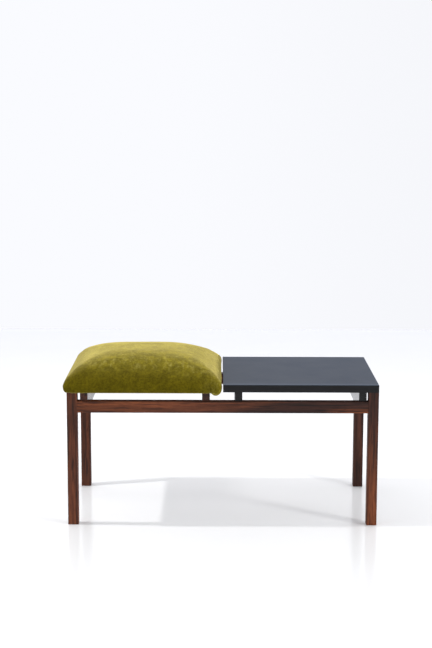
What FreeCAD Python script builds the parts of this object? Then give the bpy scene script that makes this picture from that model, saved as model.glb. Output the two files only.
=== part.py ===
import FreeCAD, Part
import math
import os
import re
import Sketcher
from FreeCAD import Placement, Rotation, Vector

# Telephone bench: an upholstered seat on the left and a small black table on
# the right, side by side on one rosewood frame.
# Millimetres, +Z up, +X towards the table end, -Y towards the front.
# The origin is on the floor, under the middle of the whole bench.

# Driving sizes
# Each size stands here once. Everything that fits, seats on or lines up with
# another piece is worked out from these by an expression.

SIZES = [
    ("bench_length", 900, "over the outer faces of the legs"),
    ("bench_depth", 450, "over the outer faces of the legs, and of the tabletop"),
    ("leg_height", 395, "floor to the underside of seat and table"),
    ("leg_side", 30, "square section of a leg"),
    ("edge_ease", 1.5, "rounding along the long edges of the frame"),
    ("foot_bevel", 1, "bevel round the foot of a leg"),
    ("rail_height", 33, "long rail, top to bottom"),
    ("rail_depth", 30, "long rail, front to back"),
    ("rail_gap", 28, "air between a rail and what stands over it"),
    ("bearer_width", 22, "thickness of a bearer along the bench"),
    ("bearer_setback", 10, "from the face of a rail to a bearer's end"),
    ("bearer_ease", 1, "rounding along the edges of a bearer"),
    ("seat_bearer_gap", 7.8, "from the left legs to the seat's outer bearer"),
    ("seat_bearer_inset", 24.7, "from the seat board's edge to its inner bearer"),
    ("table_bearer_gap", 4.6, "from the right legs to the table's outer bearer"),
    ("table_bearer_inset", 33.7, "from the tabletop's edge to its inner bearer"),
    ("dowel_diameter", 8, "beech dowel between a rail and a leg"),
    ("dowel_length", 40, "half in the leg and half in the rail"),
    ("dowel_spread", 15, "from the lower dowel to the upper one"),
    ("dowel_bevel", 1, "bevel round the ends of a dowel"),
    ("dowel_web", 2.75, "wood between a dowel and the screw behind it"),
    ("blind_room", 0.5, "air past the end of a dowel or a screw in its hole"),
    ("hole_room", 0.1, "by how much a hole is wider than what is in it"),
    ("rail_screw_diameter", 4.5, "screw up through a rail into a bearer"),
    ("rail_screw_head", 9, "across its countersunk head"),
    ("rail_screw_bite", 17, "how far it goes into the bearer"),
    ("unit_screw_diameter", 4, "screw up through a bearer into a unit"),
    ("unit_screw_head", 8, "across its round head"),
    ("unit_screw_head_height", 2.6, "height of its round head"),
    ("unit_screw_length", 30, "under the head"),
    ("unit_screw_bite", 8, "how far it goes into the seat board"),
    ("unit_screw_spread", 250, "from the front screw to the back one"),
    ("screw_point", 5, "length of a screw's point"),
    ("slot_width", 1.2, "driver slot in a screw's head"),
    ("slot_depth", 1, "depth of that slot"),
    ("counterbore_diameter", 10, "sunk hole for a round head"),
    ("table_length", 449, "tabletop along the bench"),
    ("core_thickness", 20, "blockboard inside the tabletop"),
    ("laminate_thickness", 1, "black sheet on top, and the one below"),
    ("laminate_bevel", 0.6, "bevel round the top sheet"),
    ("lipping_thickness", 4, "black wooden edge strip"),
    ("unit_gap", 3.2, "between the seat and the tabletop"),
    ("seat_overhang", 11.8, "how far the seat stands out past the left legs"),
    ("seat_setback_front", 6, "from the legs' front to the seat board"),
    ("seat_setback_back", 14, "from the legs' back to the seat board"),
    ("seat_board_thickness", 12, "plywood under the padding"),
    ("seat_board_corner", 8, "radius of the board's corners"),
    ("cover_thickness", 1.5, "velvet with its pile"),
    ("soft_room", 0.3, "clear space between soft layers"),
    ("wadding_thickness", 5, "cotton wadding over the foam"),
    ("seat_swell", 9, "how far the sides stand out past their foot"),
    ("widest_level", 20.5, "from the seat's underside up to its widest line"),
    ("seat_height", 94, "from the seat's underside up to its crown"),
    ("crown_flat", 98, "level top of the crown, both ways"),
    ("side_fullness", 1.43, "power that rounds the sides"),
    ("crown_fullness", 2.29, "root that flattens the crown"),
    ("seat_corner", 11, "radius of the seat's corners at the widest line"),
    ("cover_turn_under", 20, "velvet turned under the board"),
    ("dust_cover_thickness", 0.5, "black cloth under the seat"),
    ("dust_cover_lap", 8, "how far that cloth reaches over the turned velvet"),
    ("staple_crown", 10, "width of a staple"),
    ("staple_leg", 8, "height of a staple"),
    ("staple_wire", 0.5, "thickness of its wire, up and down"),
    ("staple_flat", 1.2, "width of its wire"),
    ("cover_staple_inset", 6, "from the board's edge to the velvet's staples"),
    ("dust_staple_room", 2, "from the turned velvet to the other staples"),
    ("staple_end_room", 70, "from the board's end to a row's first staple"),
]

# Counts, and where the seat's form has its level sections: as shares of the
# height below its widest line, and of the way in from that line to the crown
COVER_STAPLES_PER_SIDE = 6
DUST_STAPLES_PER_SIDE = 5
LOWER_SHARES = (1.0, 0.75, 0.4, 0.0)
UPPER_SHARES = (0.02, 0.06, 0.13, 0.24, 0.4, 0.6, 0.8, 1.0)
# How far a cut runs out past the piece that it goes across
CUT_OVERRUN = 2

doc = FreeCAD.newDocument("telephone_bench")
sheet = doc.addObject("Spreadsheet::Sheet", "Sizes")
for row, (alias, number, note) in enumerate(SIZES, start=1):
    sheet.set(f"A{row}", str(number))
    sheet.setAlias(f"A{row}", alias)
    sheet.set(f"B{row}", note)
doc.recompute()

# Formulas that several pieces share

RAIL_BOTTOM = "(leg_height - rail_gap - rail_height)"
RAIL_LENGTH = "(bench_length - 2 * leg_side)"
BEARER_HEIGHT = "(rail_height + rail_gap)"
PADDING = "(cover_thickness + soft_room + seat_swell)"
SEAT_LENGTH = "(bench_length + seat_overhang - unit_gap - table_length)"
BOARD_LENGTH = f"({SEAT_LENGTH} - 2 * {PADDING})"
BOARD_DEPTH = "(bench_depth - seat_setback_front - seat_setback_back)"
SEAT_DEPTH = f"({BOARD_DEPTH} + 2 * {PADDING})"
# The middle of the frame, seen from the middle of the whole bench
MIDDLE_X = "(seat_overhang / 2)"
MIDDLE_Y = f"(({PADDING} - seat_setback_front) / 2)"
LEFT_FACE = f"({MIDDLE_X} - bench_length / 2)"
RIGHT_FACE = f"({MIDDLE_X} + bench_length / 2)"
SEAT_X = f"({LEFT_FACE} - seat_overhang + {SEAT_LENGTH} / 2)"
SEAT_Y = f"({MIDDLE_Y} - (seat_setback_back - seat_setback_front) / 2)"
TABLE_X = f"({RIGHT_FACE} - table_length / 2)"
# Levels of the seat, the screws' places and the depths of their holes
FOLD_BOTTOM = "(leg_height + dust_cover_thickness)"
BOARD_BOTTOM = f"({FOLD_BOTTOM} + cover_thickness)"
DOWEL_HOLE = "(dowel_length / 2 + blind_room)"
RAIL_SCREW_SETBACK = "((bearer_setback + rail_depth) / 2)"
RAIL_SCREW_Y = f"(bench_depth / 2 - {RAIL_SCREW_SETBACK})"
DOWEL_SETBACK = f"({RAIL_SCREW_SETBACK} - rail_screw_diameter / 2 - dowel_web - dowel_diameter / 2)"
RAIL_SCREW_LENGTH = "(rail_height + rail_screw_bite)"
UNDER_BOARD = "(dust_cover_thickness + cover_thickness)"
COUNTERBORE_FLOOR = f"(unit_screw_length - unit_screw_bite - {UNDER_BOARD})"
# Where the bearers stand, from left to right
SEAT_BEARERS = {
    "seat_bearer_left": f"({LEFT_FACE} + leg_side + seat_bearer_gap + bearer_width / 2)",
    "seat_bearer_right": f"({SEAT_X} + {BOARD_LENGTH} / 2 - seat_bearer_inset - bearer_width / 2)",
}
TABLE_BEARERS = {
    "table_bearer_left": f"({TABLE_X} - table_length / 2 + table_bearer_inset + bearer_width / 2)",
    "table_bearer_right": f"({RIGHT_FACE} - leg_side - table_bearer_gap - bearer_width / 2)",
}

ANY_SIZE = re.compile(r"\b(" + "|".join(alias for alias, _, _ in SIZES) + r")\b")
gauge = doc.addObject("App::FeaturePython", "Gauge")
gauge.addProperty("App::PropertyFloat", "Reading")


def cell(formula):
    """Turn size names in a formula into references to the sheet."""
    return ANY_SIZE.sub(r"Sizes.\1", formula)


def value(formula):
    """Work a formula out as a number, to draw a sketch near its final shape."""
    gauge.setExpression("Reading", cell(formula))
    gauge.recompute()
    return gauge.Reading


def bind(thing, path, formula):
    thing.setExpression(path, cell(formula))


def place(thing, x="0", y="0", z="0"):
    """Put a piece at a place given by formulas."""
    bind(thing, "Placement.Base.x", x)
    bind(thing, "Placement.Base.y", y)
    bind(thing, "Placement.Base.z", z)


# Drawing aids

def new_body(label):
    body = doc.addObject("PartDesign::Body", label)
    body.Label = label
    return body


def sketch_on(body, role, dx="0", dy="0", dz="0"):
    """A sketch on one of the body's own planes, moved by formulas."""
    sketch = body.newObject("Sketcher::SketchObject", "Outline")
    plane = next(p for p in body.Origin.OriginFeatures if p.Role == role)
    sketch.AttachmentSupport = (plane, [""])
    sketch.MapMode = "FlatFace"
    bind(sketch, "AttachmentOffset.Base.x", dx)
    bind(sketch, "AttachmentOffset.Base.y", dy)
    bind(sketch, "AttachmentOffset.Base.z", dz)
    return sketch


def constrain(sketch, kind, *arguments, formula=None):
    """Add a constraint. Where a formula is given, it sets the value."""
    if formula:
        arguments += (value(formula),)
    index = sketch.addConstraint(Sketcher.Constraint(kind, *arguments))
    if formula:
        bind(sketch, f"Constraints[{index}]", formula)
    return index


def draw_rectangle(sketch, across, up):
    """A rectangle about the middle of the sketch."""
    half_x = value(across) / 2
    half_y = value(up) / 2
    signs = ((-1, -1), (1, -1), (1, 1), (-1, 1))
    corners = [Vector(sx * half_x, sy * half_y) for sx, sy in signs]
    for i in range(4):
        sketch.addGeometry(Part.LineSegment(corners[i], corners[(i + 1) % 4]), False)
    for i in range(4):
        constrain(sketch, "Coincident", i, 2, (i + 1) % 4, 1)
    constrain(sketch, "Horizontal", 0)
    constrain(sketch, "Horizontal", 2)
    constrain(sketch, "Vertical", 1)
    constrain(sketch, "Vertical", 3)
    constrain(sketch, "Symmetric", 0, 1, 2, 1, -1, 1)
    constrain(sketch, "DistanceX", 0, 1, 0, 2, formula=across)
    constrain(sketch, "DistanceY", 1, 1, 1, 2, formula=up)


def draw_round_rectangle(sketch, across, up, radius):
    """A rectangle with rounded corners about the middle of the sketch."""
    half_x = value(across) / 2
    half_y = value(up) / 2
    r = value(radius)
    sides = [
        (Vector(-half_x + r, -half_y), Vector(half_x - r, -half_y)),
        (Vector(half_x, -half_y + r), Vector(half_x, half_y - r)),
        (Vector(half_x - r, half_y), Vector(-half_x + r, half_y)),
        (Vector(-half_x, half_y - r), Vector(-half_x, -half_y + r)),
    ]
    middles = [
        Vector(half_x - r, -half_y + r),
        Vector(half_x - r, half_y - r),
        Vector(-half_x + r, half_y - r),
        Vector(-half_x + r, -half_y + r),
    ]
    quarter = math.pi / 2
    for side in sides:
        sketch.addGeometry(Part.LineSegment(*side), False)
    for i, middle in enumerate(middles):
        circle = Part.Circle(middle, Vector(0, 0, 1), r)
        sketch.addGeometry(Part.ArcOfCircle(circle, (i - 1) * quarter, i * quarter), False)
    for i in range(4):
        constrain(sketch, "Tangent", i, 2, 4 + i, 1)
        constrain(sketch, "Tangent", 4 + i, 2, (i + 1) % 4, 1)
    constrain(sketch, "Horizontal", 0)
    constrain(sketch, "Vertical", 1)
    for i in range(1, 4):
        constrain(sketch, "Equal", 4, 4 + i)
    constrain(sketch, "Symmetric", 4, 3, 6, 3, -1, 1)
    constrain(sketch, "DistanceX", 7, 3, 4, 3, formula=f"{across} - 2 * {radius}")
    constrain(sketch, "DistanceY", 4, 3, 5, 3, formula=f"{up} - 2 * {radius}")
    constrain(sketch, "Radius", 4, formula=radius)


def draw_circles(sketch, diameter, up=None):
    """One circle, or two spread up and down about the middle of the sketch."""
    radius = value(diameter) / 2
    rise = value(up) / 2 if up else 0
    for sign in (-1, 1) if up else (0,):
        circle = Part.Circle(Vector(0, sign * rise), Vector(0, 0, 1), radius)
        index = sketch.addGeometry(circle, False)
        constrain(sketch, "Diameter", index, formula=diameter)
        constrain(sketch, "PointOnObject", index, 3, -2)
        if sign > 0:
            constrain(sketch, "DistanceY", -1, 1, index, 3, formula=f"{up} / 2")
        elif sign < 0:
            constrain(sketch, "DistanceY", index, 3, -1, 1, formula=f"{up} / 2")
        else:
            constrain(sketch, "PointOnObject", index, 3, -1)


def pad(body, sketch, length):
    feature = body.newObject("PartDesign::Pad", "Pad")
    feature.Profile = sketch
    bind(feature, "Length", length)
    doc.recompute()
    return feature


def must_cut(body, before):
    if not body.Shape.Volume < before:
        raise RuntimeError(f"{body.Label}: a cut takes nothing away")


def pocket(body, sketch, depth, upwards=False):
    """Cut a sketch into a body, and see that something was cut."""
    before = body.Shape.Volume
    feature = body.newObject("PartDesign::Pocket", "Pocket")
    feature.Profile = sketch
    feature.Reversed = upwards
    bind(feature, "Length", depth)
    doc.recompute()
    must_cut(body, before)
    return feature


def dress_edges(body, kind, sized, formula, wanted):
    """Round or bevel the edges of the body's last feature that are wanted."""
    base = body.Tip
    names = [f"Edge{i}" for i, edge in enumerate(base.Shape.Edges, start=1) if wanted(edge)]
    if not names:
        raise RuntimeError(f"{body.Label}: no edge to dress")
    feature = body.newObject(f"PartDesign::{kind}", kind)
    feature.Base = (base, names)
    bind(feature, sized, formula)
    doc.recompute()
    return feature


def runs_along(edge, axis):
    """Is this a straight edge along the axis named x, y or z?"""
    if not isinstance(edge.Curve, Part.Line):
        return False
    return abs(abs(getattr(edge.Curve.Direction, axis)) - 1) < 1e-6


def at_height(edge, height):
    box = edge.BoundBox
    return abs(box.ZMin - height) < 1e-4 and abs(box.ZMax - height) < 1e-4


# Frame: four legs, two long rails and the dowels between them

def make_leg(label, end, side):
    """A leg. end is -1 at the left and 1 at the right, side -1 at the front."""
    body = new_body(label)
    outline = sketch_on(body, "XY_Plane")
    draw_rectangle(outline, "leg_side", "leg_side")
    pad(body, outline, "leg_height")
    dress_edges(body, "Fillet", "Radius", "edge_ease", lambda e: runs_along(e, "z"))
    dress_edges(body, "Chamfer", "Size", "foot_bevel", lambda e: at_height(e, 0))
    holes = sketch_on(
        body,
        "YZ_Plane",
        dx=f"{side} * (leg_side / 2 - {DOWEL_SETBACK})",
        dy=f"{RAIL_BOTTOM} + rail_height / 2",
        dz=f"{-end} * leg_side / 2",
    )
    draw_circles(holes, "dowel_diameter + hole_room", up="dowel_spread")
    pocket(body, holes, DOWEL_HOLE, upwards=end > 0)
    place(
        body,
        f"{MIDDLE_X} + {end} * (bench_length - leg_side) / 2",
        f"{MIDDLE_Y} + {side} * (bench_depth - leg_side) / 2",
    )
    return body


def countersink(body, sketch):
    """Screw holes right through a body, countersunk from below."""
    doc.recompute()
    before = body.Shape.Volume
    hole = body.newObject("PartDesign::Hole", "ScrewHole")
    hole.Profile = sketch
    hole.ThreadType = "None"
    hole.HoleCutType = "Countersink"
    hole.HoleCutCustomValues = True
    bind(hole, "Diameter", "rail_screw_diameter + hole_room")
    bind(hole, "HoleCutDiameter", "rail_screw_head + hole_room")
    hole.HoleCutCountersinkAngle = 90
    hole.DepthType = "ThroughAll"
    hole.Reversed = True
    doc.recompute()
    must_cut(body, before)


def make_rail(label, side):
    """A long rail between two legs, drilled for dowels and screws."""
    body = new_body(label)
    outline = sketch_on(body, "XY_Plane")
    draw_rectangle(outline, RAIL_LENGTH, "rail_depth")
    pad(body, outline, "rail_height")
    dress_edges(body, "Fillet", "Radius", "edge_ease", lambda e: runs_along(e, "x"))
    dowel_y = f"{side} * (rail_depth / 2 - {DOWEL_SETBACK})"
    for end in (-1, 1):
        end_x = f"{end} * {RAIL_LENGTH} / 2"
        holes = sketch_on(body, "YZ_Plane", dx=dowel_y, dy="rail_height / 2", dz=end_x)
        draw_circles(holes, "dowel_diameter + hole_room", up="dowel_spread")
        pocket(body, holes, DOWEL_HOLE, upwards=end < 0)
    screw_y = f"{side} * ({RAIL_SCREW_Y} - (bench_depth - rail_depth) / 2)"
    for bearer_x in (SEAT_BEARERS | TABLE_BEARERS).values():
        hole = sketch_on(body, "XY_Plane", dx=f"{bearer_x} - {MIDDLE_X}", dy=screw_y)
        draw_circles(hole, "rail_screw_diameter + hole_room")
        countersink(body, hole)
    place(body, MIDDLE_X, f"{MIDDLE_Y} + {side} * (bench_depth - rail_depth) / 2", RAIL_BOTTOM)
    return body


def copies_of(label, master, places):
    """Group copies of one piece, each at its own place, as one node."""
    links = []
    for x, y, z, turn in places:
        link = doc.addObject("App::Link", f"{label}_copy")
        link.LinkedObject = master
        link.Placement = Placement(Vector(), turn)
        place(link, x, y, z)
        links.append(link)
    group = doc.addObject("Part::Compound", label)
    group.Label = label
    group.Links = links
    return group


UNTURNED = Rotation()


def make_dowels(label):
    """Two dowels at each of the four joints of rail and leg."""
    one = new_body("one_dowel")
    outline = sketch_on(one, "XY_Plane", dz="-dowel_length / 2")
    draw_circles(outline, "dowel_diameter")
    pad(one, outline, "dowel_length")
    dress_edges(one, "Chamfer", "Size", "dowel_bevel", lambda e: isinstance(e.Curve, Part.Circle))
    lying = Rotation(Vector(0, 1, 0), 90)
    places = []
    for end in (-1, 1):
        for side in (-1, 1):
            for level in (-1, 1):
                x = f"{MIDDLE_X} + {end} * {RAIL_LENGTH} / 2"
                y = f"{MIDDLE_Y} + {side} * (bench_depth / 2 - {DOWEL_SETBACK})"
                z = f"{RAIL_BOTTOM} + rail_height / 2 + {level} * dowel_spread / 2"
                places.append((x, y, z, lying))
    return copies_of(label, one, places)


# Bearers: they lie between the rails, and their raised ends reach over them

def make_bearer(label, x):
    """A bearer, bored for the screws from the rails and for its own screws."""
    body = new_body(label)
    upper = sketch_on(body, "XY_Plane", dz="rail_height")
    draw_rectangle(upper, "bearer_width", "bench_depth - 2 * bearer_setback")
    pad(body, upper, "rail_gap")
    lower = sketch_on(body, "XY_Plane")
    draw_rectangle(lower, "bearer_width", "bench_depth - 2 * rail_depth")
    pad(body, lower, "rail_height")
    height = value(BEARER_HEIGHT)
    dress_edges(
        body,
        "Fillet",
        "Radius",
        "bearer_ease",
        lambda e: runs_along(e, "y") and (at_height(e, 0) or at_height(e, height)),
    )
    pilots = sketch_on(body, "XY_Plane", dz="rail_height")
    draw_circles(pilots, "rail_screw_diameter + hole_room", up=f"2 * {RAIL_SCREW_Y}")
    pocket(body, pilots, "rail_screw_bite + blind_room", upwards=True)
    sunk = sketch_on(body, "XY_Plane")
    draw_circles(sunk, "counterbore_diameter", up="unit_screw_spread")
    pocket(body, sunk, f"{BEARER_HEIGHT} - {COUNTERBORE_FLOOR}", upwards=True)
    clear = sketch_on(body, "XY_Plane")
    draw_circles(clear, "unit_screw_diameter + hole_room", up="unit_screw_spread")
    pocket(body, clear, BEARER_HEIGHT, upwards=True)
    place(body, x, MIDDLE_Y, RAIL_BOTTOM)
    return body


# Screws: drawn point upwards, with the face or the seat of the head at the origin

def turn_about_axis(body, corners, domed=None):
    """Revolve half an outline, given by its corners' formulas.

    domed is the number of the side that is an arc about the axis, if any.
    """
    sketch = sketch_on(body, "XZ_Plane")
    points = [Vector(value(across), value(up)) for across, up in corners]
    count = len(points)
    for i in range(count):
        start, end = points[i], points[(i + 1) % count]
        if i == domed:
            rise = end.y - start.y
            radius = (end.x ** 2 + rise ** 2) / (2 * rise)
            half_turn = math.atan2(rise, end.x)
            out = radius * math.sin(half_turn)
            up = radius * (1 - math.cos(half_turn))
            sketch.addGeometry(Part.Arc(start, start + Vector(out, up), end), False)
        else:
            sketch.addGeometry(Part.LineSegment(start, end), False)
    for i in range(count):
        constrain(sketch, "Coincident", i, 2, (i + 1) % count, 1)
    for i, (across, up) in enumerate(corners):
        if across == "0":
            constrain(sketch, "PointOnObject", i, 1, -2)
        else:
            constrain(sketch, "DistanceX", -1, 1, i, 1, formula=across)
        if up == "0":
            constrain(sketch, "PointOnObject", i, 1, -1)
        elif up.startswith("-"):
            constrain(sketch, "DistanceY", i, 1, -1, 1, formula=up[1:])
        else:
            constrain(sketch, "DistanceY", -1, 1, i, 1, formula=up)
    if domed is not None:
        constrain(sketch, "PointOnObject", domed, 3, -2)
    feature = body.newObject("PartDesign::Revolution", "Turned")
    feature.Profile = sketch
    feature.ReferenceAxis = (sketch, ["V_Axis"])
    feature.Angle = 360
    doc.recompute()
    return feature


def cut_slot(body, across, level):
    """The driver slot across a screw's head, cut upwards from its face."""
    slot = sketch_on(body, "XY_Plane", dz=level)
    draw_rectangle(slot, f"{across} + {CUT_OVERRUN}", "slot_width")
    pocket(body, slot, "slot_depth", upwards=True)


def make_rail_screws(label):
    """Countersunk screws, up through the rails into the bearers' ends."""
    one = new_body("one_rail_screw")
    corners = [
        ("0", "0"),
        ("rail_screw_head / 2", "0"),
        ("rail_screw_diameter / 2", "(rail_screw_head - rail_screw_diameter) / 2"),
        ("rail_screw_diameter / 2", f"{RAIL_SCREW_LENGTH} - screw_point"),
        ("0", RAIL_SCREW_LENGTH),
    ]
    turn_about_axis(one, corners)
    cut_slot(one, "rail_screw_head", "0")
    places = []
    for x in (SEAT_BEARERS | TABLE_BEARERS).values():
        for side in (-1, 1):
            places.append((x, f"{MIDDLE_Y} + {side} * {RAIL_SCREW_Y}", RAIL_BOTTOM, UNTURNED))
    return copies_of(label, one, places)


def make_one_unit_screw():
    one = new_body("one_unit_screw")
    corners = [
        ("0", "-unit_screw_head_height"),
        ("unit_screw_head / 2", "0"),
        ("unit_screw_diameter / 2", "0"),
        ("unit_screw_diameter / 2", "unit_screw_length - screw_point"),
        ("0", "unit_screw_length"),
    ]
    turn_about_axis(one, corners, domed=0)
    cut_slot(one, "unit_screw_head", "-unit_screw_head_height")
    return one


def make_unit_screws(label, master, bearers):
    """Round-headed screws, up through two bearers into the seat or table."""
    places = []
    for x in bearers.values():
        for side in (-1, 1):
            y = f"{MIDDLE_Y} + {side} * unit_screw_spread / 2"
            places.append((x, y, f"leg_height - {COUNTERBORE_FLOOR}", UNTURNED))
    return copies_of(label, master, places)


# Table: blockboard core, edge strips, black laminate above and a sheet below

def make_slab(label, size, x, y, z):
    """A flat rectangular piece. size gives its length, depth and thickness."""
    length, depth, thickness = size
    body = new_body(label)
    outline = sketch_on(body, "XY_Plane")
    draw_rectangle(outline, length, depth)
    pad(body, outline, thickness)
    place(body, x, y, z)
    return body


def drill_for_unit_screws(body, x, y, bearers, depth):
    """Holes for a unit's four screws in a body that lies at x, y."""
    for bearer_x in bearers.values():
        holes = sketch_on(body, "XY_Plane", dx=f"{bearer_x} - {x}", dy=f"{MIDDLE_Y} - {y}")
        draw_circles(holes, "unit_screw_diameter + hole_room", up="unit_screw_spread")
        pocket(body, holes, depth, upwards=True)


def make_table():
    inner_length = "(table_length - 2 * lipping_thickness)"
    inner_depth = "(bench_depth - 2 * lipping_thickness)"
    core_bottom = "(leg_height + laminate_thickness)"
    bite = f"unit_screw_length - {COUNTERBORE_FLOOR} - laminate_thickness + blind_room"

    core = make_slab(
        "tabletop_core", (inner_length, inner_depth, "core_thickness"), TABLE_X, MIDDLE_Y, core_bottom
    )
    drill_for_unit_screws(core, TABLE_X, MIDDLE_Y, TABLE_BEARERS, bite)
    backing_size = (inner_length, inner_depth, "laminate_thickness")
    backing = make_slab("tabletop_backing_sheet", backing_size, TABLE_X, MIDDLE_Y, "leg_height")
    drill_for_unit_screws(backing, TABLE_X, MIDDLE_Y, TABLE_BEARERS, "laminate_thickness")
    top_size = ("table_length", "bench_depth", "laminate_thickness")
    top = make_slab("tabletop_laminate", top_size, TABLE_X, MIDDLE_Y, f"{core_bottom} + core_thickness")
    thickness = value("laminate_thickness")
    dress_edges(top, "Chamfer", "Size", "laminate_bevel", lambda e: at_height(e, thickness))

    pieces = [core, backing, top]
    lipping_height = "core_thickness + laminate_thickness"
    for side, name in ((-1, "front"), (1, "back")):
        y = f"{MIDDLE_Y} + {side} * (bench_depth - lipping_thickness) / 2"
        strip = ("table_length", "lipping_thickness", lipping_height)
        pieces.append(make_slab(f"tabletop_lipping_{name}", strip, TABLE_X, y, "leg_height"))
    for side, name in ((-1, "left"), (1, "right")):
        x = f"{TABLE_X} + {side} * (table_length - lipping_thickness) / 2"
        strip = ("lipping_thickness", inner_depth, lipping_height)
        pieces.append(make_slab(f"tabletop_lipping_{name}", strip, x, MIDDLE_Y, "leg_height"))
    return pieces


# Seat: plywood board, foam, wadding, velvet cover and dust cover
# The soft layers share one form. In level sections it is a rounded rectangle:
# drawn in at its foot, widest a little higher, and drawn in again to a crown.

def added(names):
    """The sum of some sizes, as a formula."""
    return "(" + " + ".join(("0",) + names) + ")"


def soft_sections(body, under, above):
    """Sketches of a layer of the seat, from its foot up to its crown.

    under names what lies between it and the seat's outer surface, and above
    what lies between its foot and the seat's underside.
    """
    depth = added(under)
    low = f"(widest_level - {added(above)})"
    high = f"(seat_height - {depth} - widest_level)"
    sketches = []
    for share in LOWER_SHARES:
        inset = f"(seat_swell * (1 - sqrt(1 - ({share} * {low} / widest_level) ^ 2)))"
        height = f"widest_level - {share} * {low}"
        sketches.append(one_section(body, depth, inset, inset, height))
    for share in UPPER_SHARES:
        inset_x = f"({share} * ({SEAT_LENGTH} - crown_flat) / 2)"
        inset_y = f"({share} * ({SEAT_DEPTH} - crown_flat) / 2)"
        rise = f"(1 - (1 - {share}) ^ crown_fullness) ^ (1 / side_fullness)"
        height = f"widest_level + {high} * {rise}"
        sketches.append(one_section(body, depth, inset_x, inset_y, height))
    return sketches


def one_section(body, depth, inset_x, inset_y, height):
    """One level section. Its corners grow rounder as it is drawn in."""
    sketch = sketch_on(body, "XY_Plane", dz=height)
    half_x = f"({SEAT_LENGTH} / 2 - {depth} - {inset_x})"
    half_y = f"({SEAT_DEPTH} / 2 - {depth} - {inset_y})"
    corner = f"(seat_corner - {depth} + {inset_y})"
    radius = f"({corner} * {half_y} / ({corner} + {half_y}))"
    draw_round_rectangle(sketch, f"(2 * {half_x})", f"(2 * {half_y})", radius)
    return sketch


def draw_board_outline(sketch, room):
    """The seat board's outline, with some room all round it."""
    draw_round_rectangle(
        sketch,
        f"({BOARD_LENGTH} + 2 * {room})",
        f"({BOARD_DEPTH} + 2 * {room})",
        f"(seat_board_corner + {room})",
    )


def loft(body, kind, sketches):
    doc.recompute()
    before = body.Shape.Volume if body.Tip else 0
    feature = body.newObject(f"PartDesign::{kind}", kind)
    feature.Profile = sketches[0]
    feature.Sections = sketches[1:]
    feature.Ruled = False
    doc.recompute()
    if kind == "SubtractiveLoft":
        must_cut(body, before)
    return feature


def make_seat_board():
    body = new_body("seat_board")
    outline = sketch_on(body, "XY_Plane")
    draw_board_outline(outline, "0")
    pad(body, outline, "seat_board_thickness")
    drill_for_unit_screws(body, SEAT_X, SEAT_Y, SEAT_BEARERS, "unit_screw_bite + blind_room")
    place(body, SEAT_X, SEAT_Y, BOARD_BOTTOM)
    return body


def make_seat_foam():
    body = new_body("seat_foam")
    under = ("cover_thickness", "soft_room", "wadding_thickness", "soft_room")
    above = ("cover_thickness", "seat_board_thickness")
    loft(body, "AdditiveLoft", soft_sections(body, under, above))
    place(body, SEAT_X, SEAT_Y, FOLD_BOTTOM)
    return body


def make_seat_wadding():
    """Wadding over the foam and down round the edges of the board."""
    body = new_body("seat_wadding")
    outer = ("cover_thickness", "soft_room")
    inner = ("cover_thickness", "soft_room", "wadding_thickness")
    board_top = ("cover_thickness", "seat_board_thickness")
    loft(body, "AdditiveLoft", soft_sections(body, outer, outer))
    loft(body, "SubtractiveLoft", soft_sections(body, inner, board_top))
    room = sketch_on(body, "XY_Plane", dz="cover_thickness")
    draw_board_outline(room, "soft_room")
    pocket(body, room, "seat_board_thickness + soft_room", upwards=True)
    place(body, SEAT_X, SEAT_Y, FOLD_BOTTOM)
    return body


def make_seat_cover():
    """Velvet over everything, turned under the board all round."""
    body = new_body("seat_cover")
    inside = ("cover_thickness",)
    loft(body, "AdditiveLoft", soft_sections(body, (), ()))
    loft(body, "SubtractiveLoft", soft_sections(body, inside, inside))
    opening = sketch_on(body, "XY_Plane")
    draw_rectangle(opening, f"{BOARD_LENGTH} - 2 * cover_turn_under", f"{BOARD_DEPTH} - 2 * cover_turn_under")
    pocket(body, opening, "cover_thickness", upwards=True)
    place(body, SEAT_X, SEAT_Y, FOLD_BOTTOM)
    return body


def make_dust_cover():
    inset = "(cover_turn_under - dust_cover_lap)"
    cloth = (f"{BOARD_LENGTH} - 2 * {inset}", f"{BOARD_DEPTH} - 2 * {inset}", "dust_cover_thickness")
    body = make_slab("seat_dust_cover", cloth, SEAT_X, SEAT_Y, "leg_height")
    drill_for_unit_screws(body, SEAT_X, SEAT_Y, SEAT_BEARERS, "dust_cover_thickness")
    return body


def make_one_staple():
    """A staple standing on its crown, legs up, its crown's face at z = 0."""
    one = new_body("one_staple")
    outline = sketch_on(one, "XY_Plane")
    draw_rectangle(outline, "staple_crown", "staple_flat")
    pad(one, outline, "staple_leg")
    between = sketch_on(one, "XY_Plane", dz="staple_wire")
    draw_rectangle(between, "staple_crown - 2 * staple_wire", f"staple_flat + {CUT_OVERRUN}")
    pocket(one, between, "staple_leg", upwards=True)
    return one


def make_staples(label, master, per_side, inset):
    """Rows of staples along the four sides of the seat's underside."""
    across = Rotation(Vector(0, 0, 1), 90)
    places = []
    for i in range(per_side):
        share = i / (per_side - 1) - 0.5
        along_x = f"{SEAT_X} + {share} * ({BOARD_LENGTH} - 2 * staple_end_room)"
        along_y = f"{SEAT_Y} + {share} * ({BOARD_DEPTH} - 2 * staple_end_room)"
        for side in (-1, 1):
            row_x = f"{SEAT_X} + {side} * ({BOARD_LENGTH} / 2 - {inset})"
            row_y = f"{SEAT_Y} + {side} * ({BOARD_DEPTH} / 2 - {inset})"
            places.append((along_x, row_y, "leg_height", UNTURNED))
            places.append((row_x, along_y, "leg_height", across))
    return copies_of(label, master, places)


def pierced(label, body, tools):
    """Cut the staples' own shape out of what they are driven through."""
    body.Label = f"{label}_whole"
    result = body
    for tool in tools:
        cut = doc.addObject("Part::Cut", label)
        cut.Base = result
        cut.Tool = tool
        result = cut
    result.Label = label
    return result


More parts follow.
